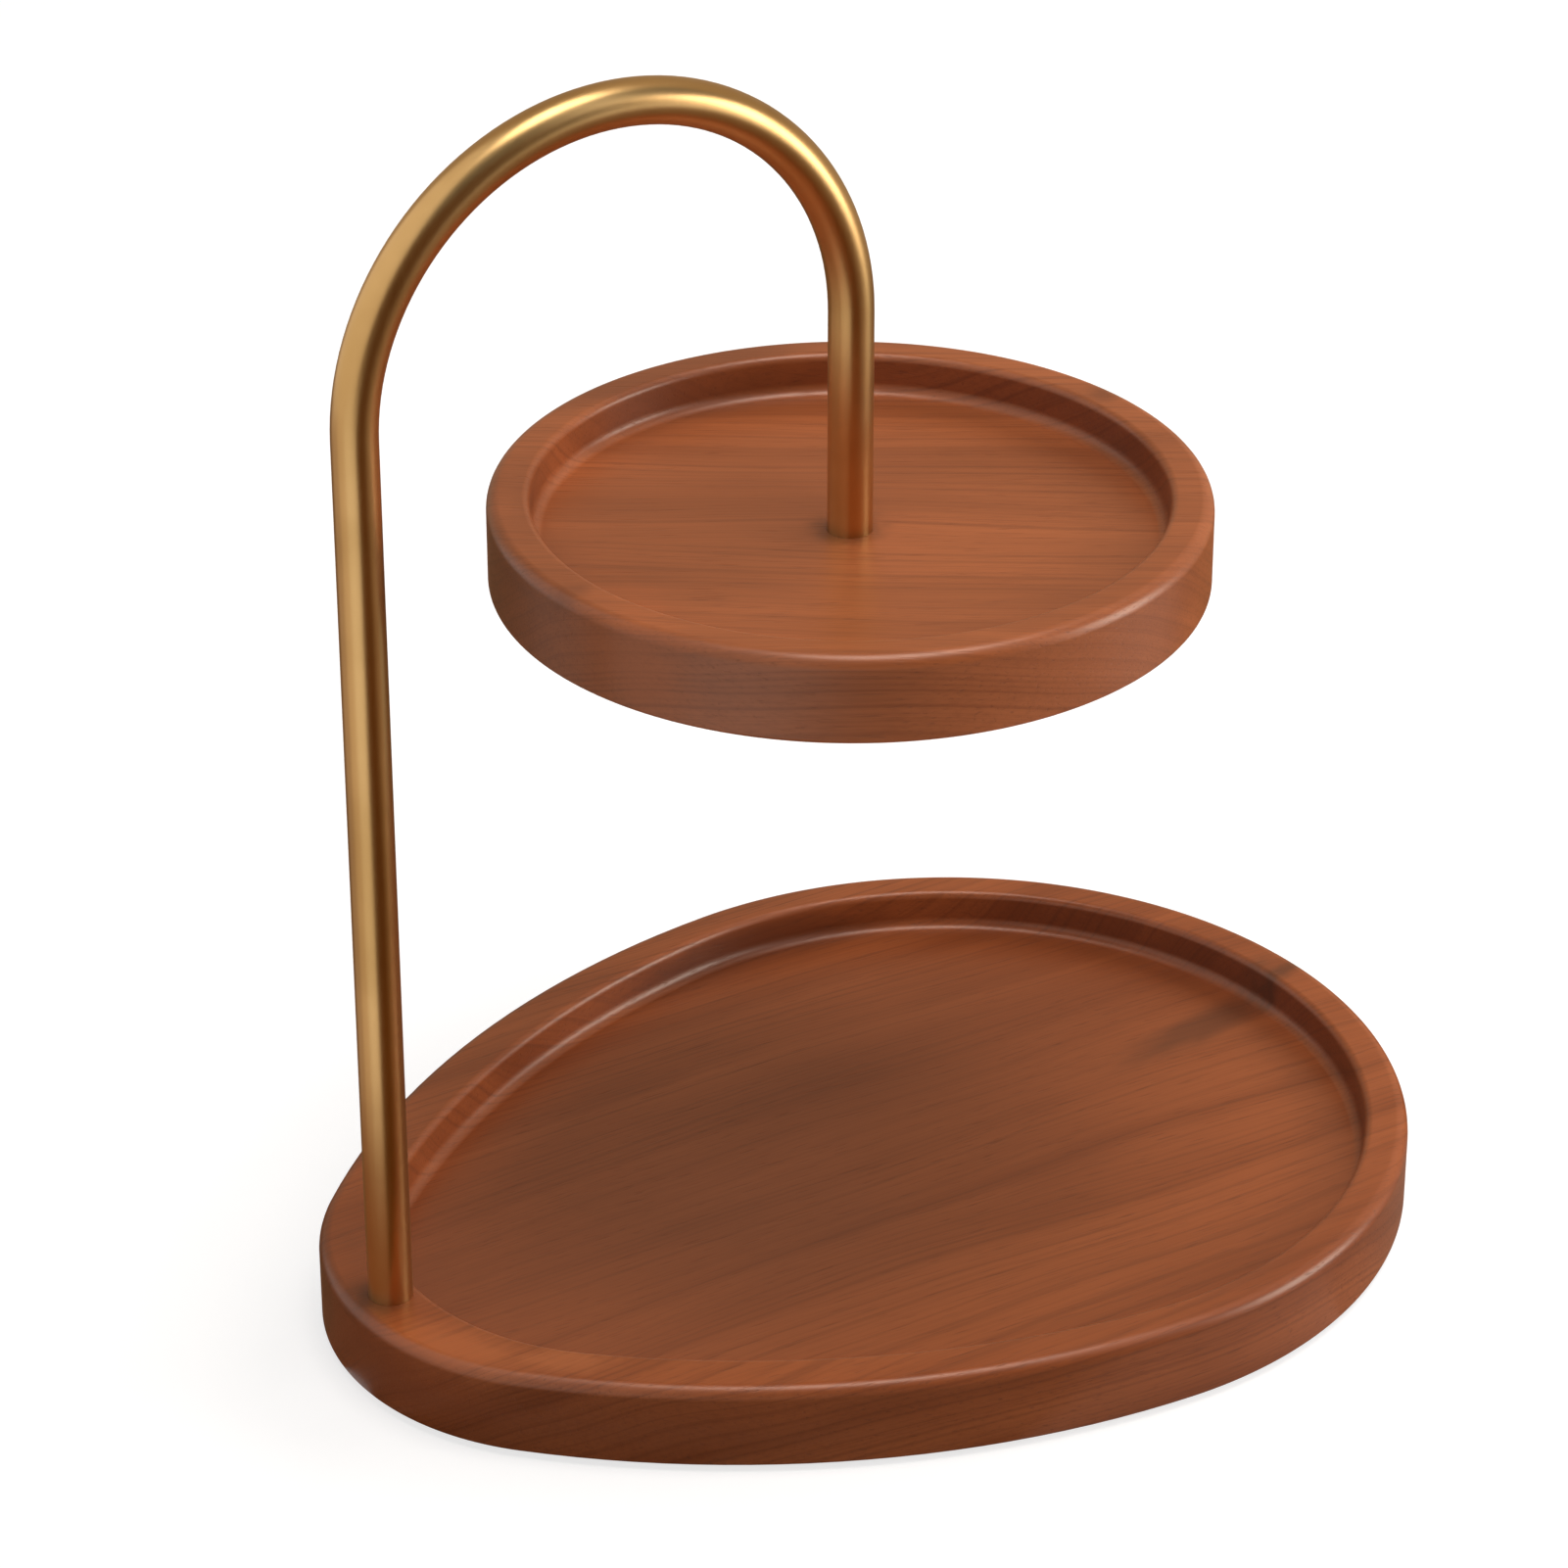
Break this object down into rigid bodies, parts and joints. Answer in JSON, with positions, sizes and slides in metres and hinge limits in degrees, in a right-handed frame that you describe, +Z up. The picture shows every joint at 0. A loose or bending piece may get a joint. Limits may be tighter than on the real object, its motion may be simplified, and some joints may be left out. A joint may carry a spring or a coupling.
{
  "type": "two-tier tray stand",
  "caption": "Egg-shaped wooden tray with a round tray held above it by an arched brass-finished tube, for small jewelry.",
  "frame": {"origin": "on the surface the stand rests on, under the middle of the lower tray's length and width", "axes": "+X along the lower tray from its narrow nose to its wide tail, +Z up, mirror-symmetric about the XZ plane"},
  "size_m": [0.266, 0.21, 0.295],
  "materials": {
    "walnut": "satin lacquer over a red-brown stain",
    "brass_finish": "satin antique brass",
    "plated_steel": "zinc plated",
    "pad_rubber": "matt"
  },
  "bodies": {
    "root": {"lower_tray": "walnut", "upper_tray": "walnut", "arch_tube": "brass_finish", "lower_tube_insert": "plated_steel", "upper_tube_insert": "plated_steel", "lower_screw": "plated_steel", "upper_screw": "plated_steel", "lower_washer": "plated_steel", "upper_washer": "plated_steel", "foot_pad_1": "pad_rubber", "foot_pad_2": "pad_rubber", "foot_pad_3": "pad_rubber", "foot_pad_4": "pad_rubber"}
  },
  "joints": []
}
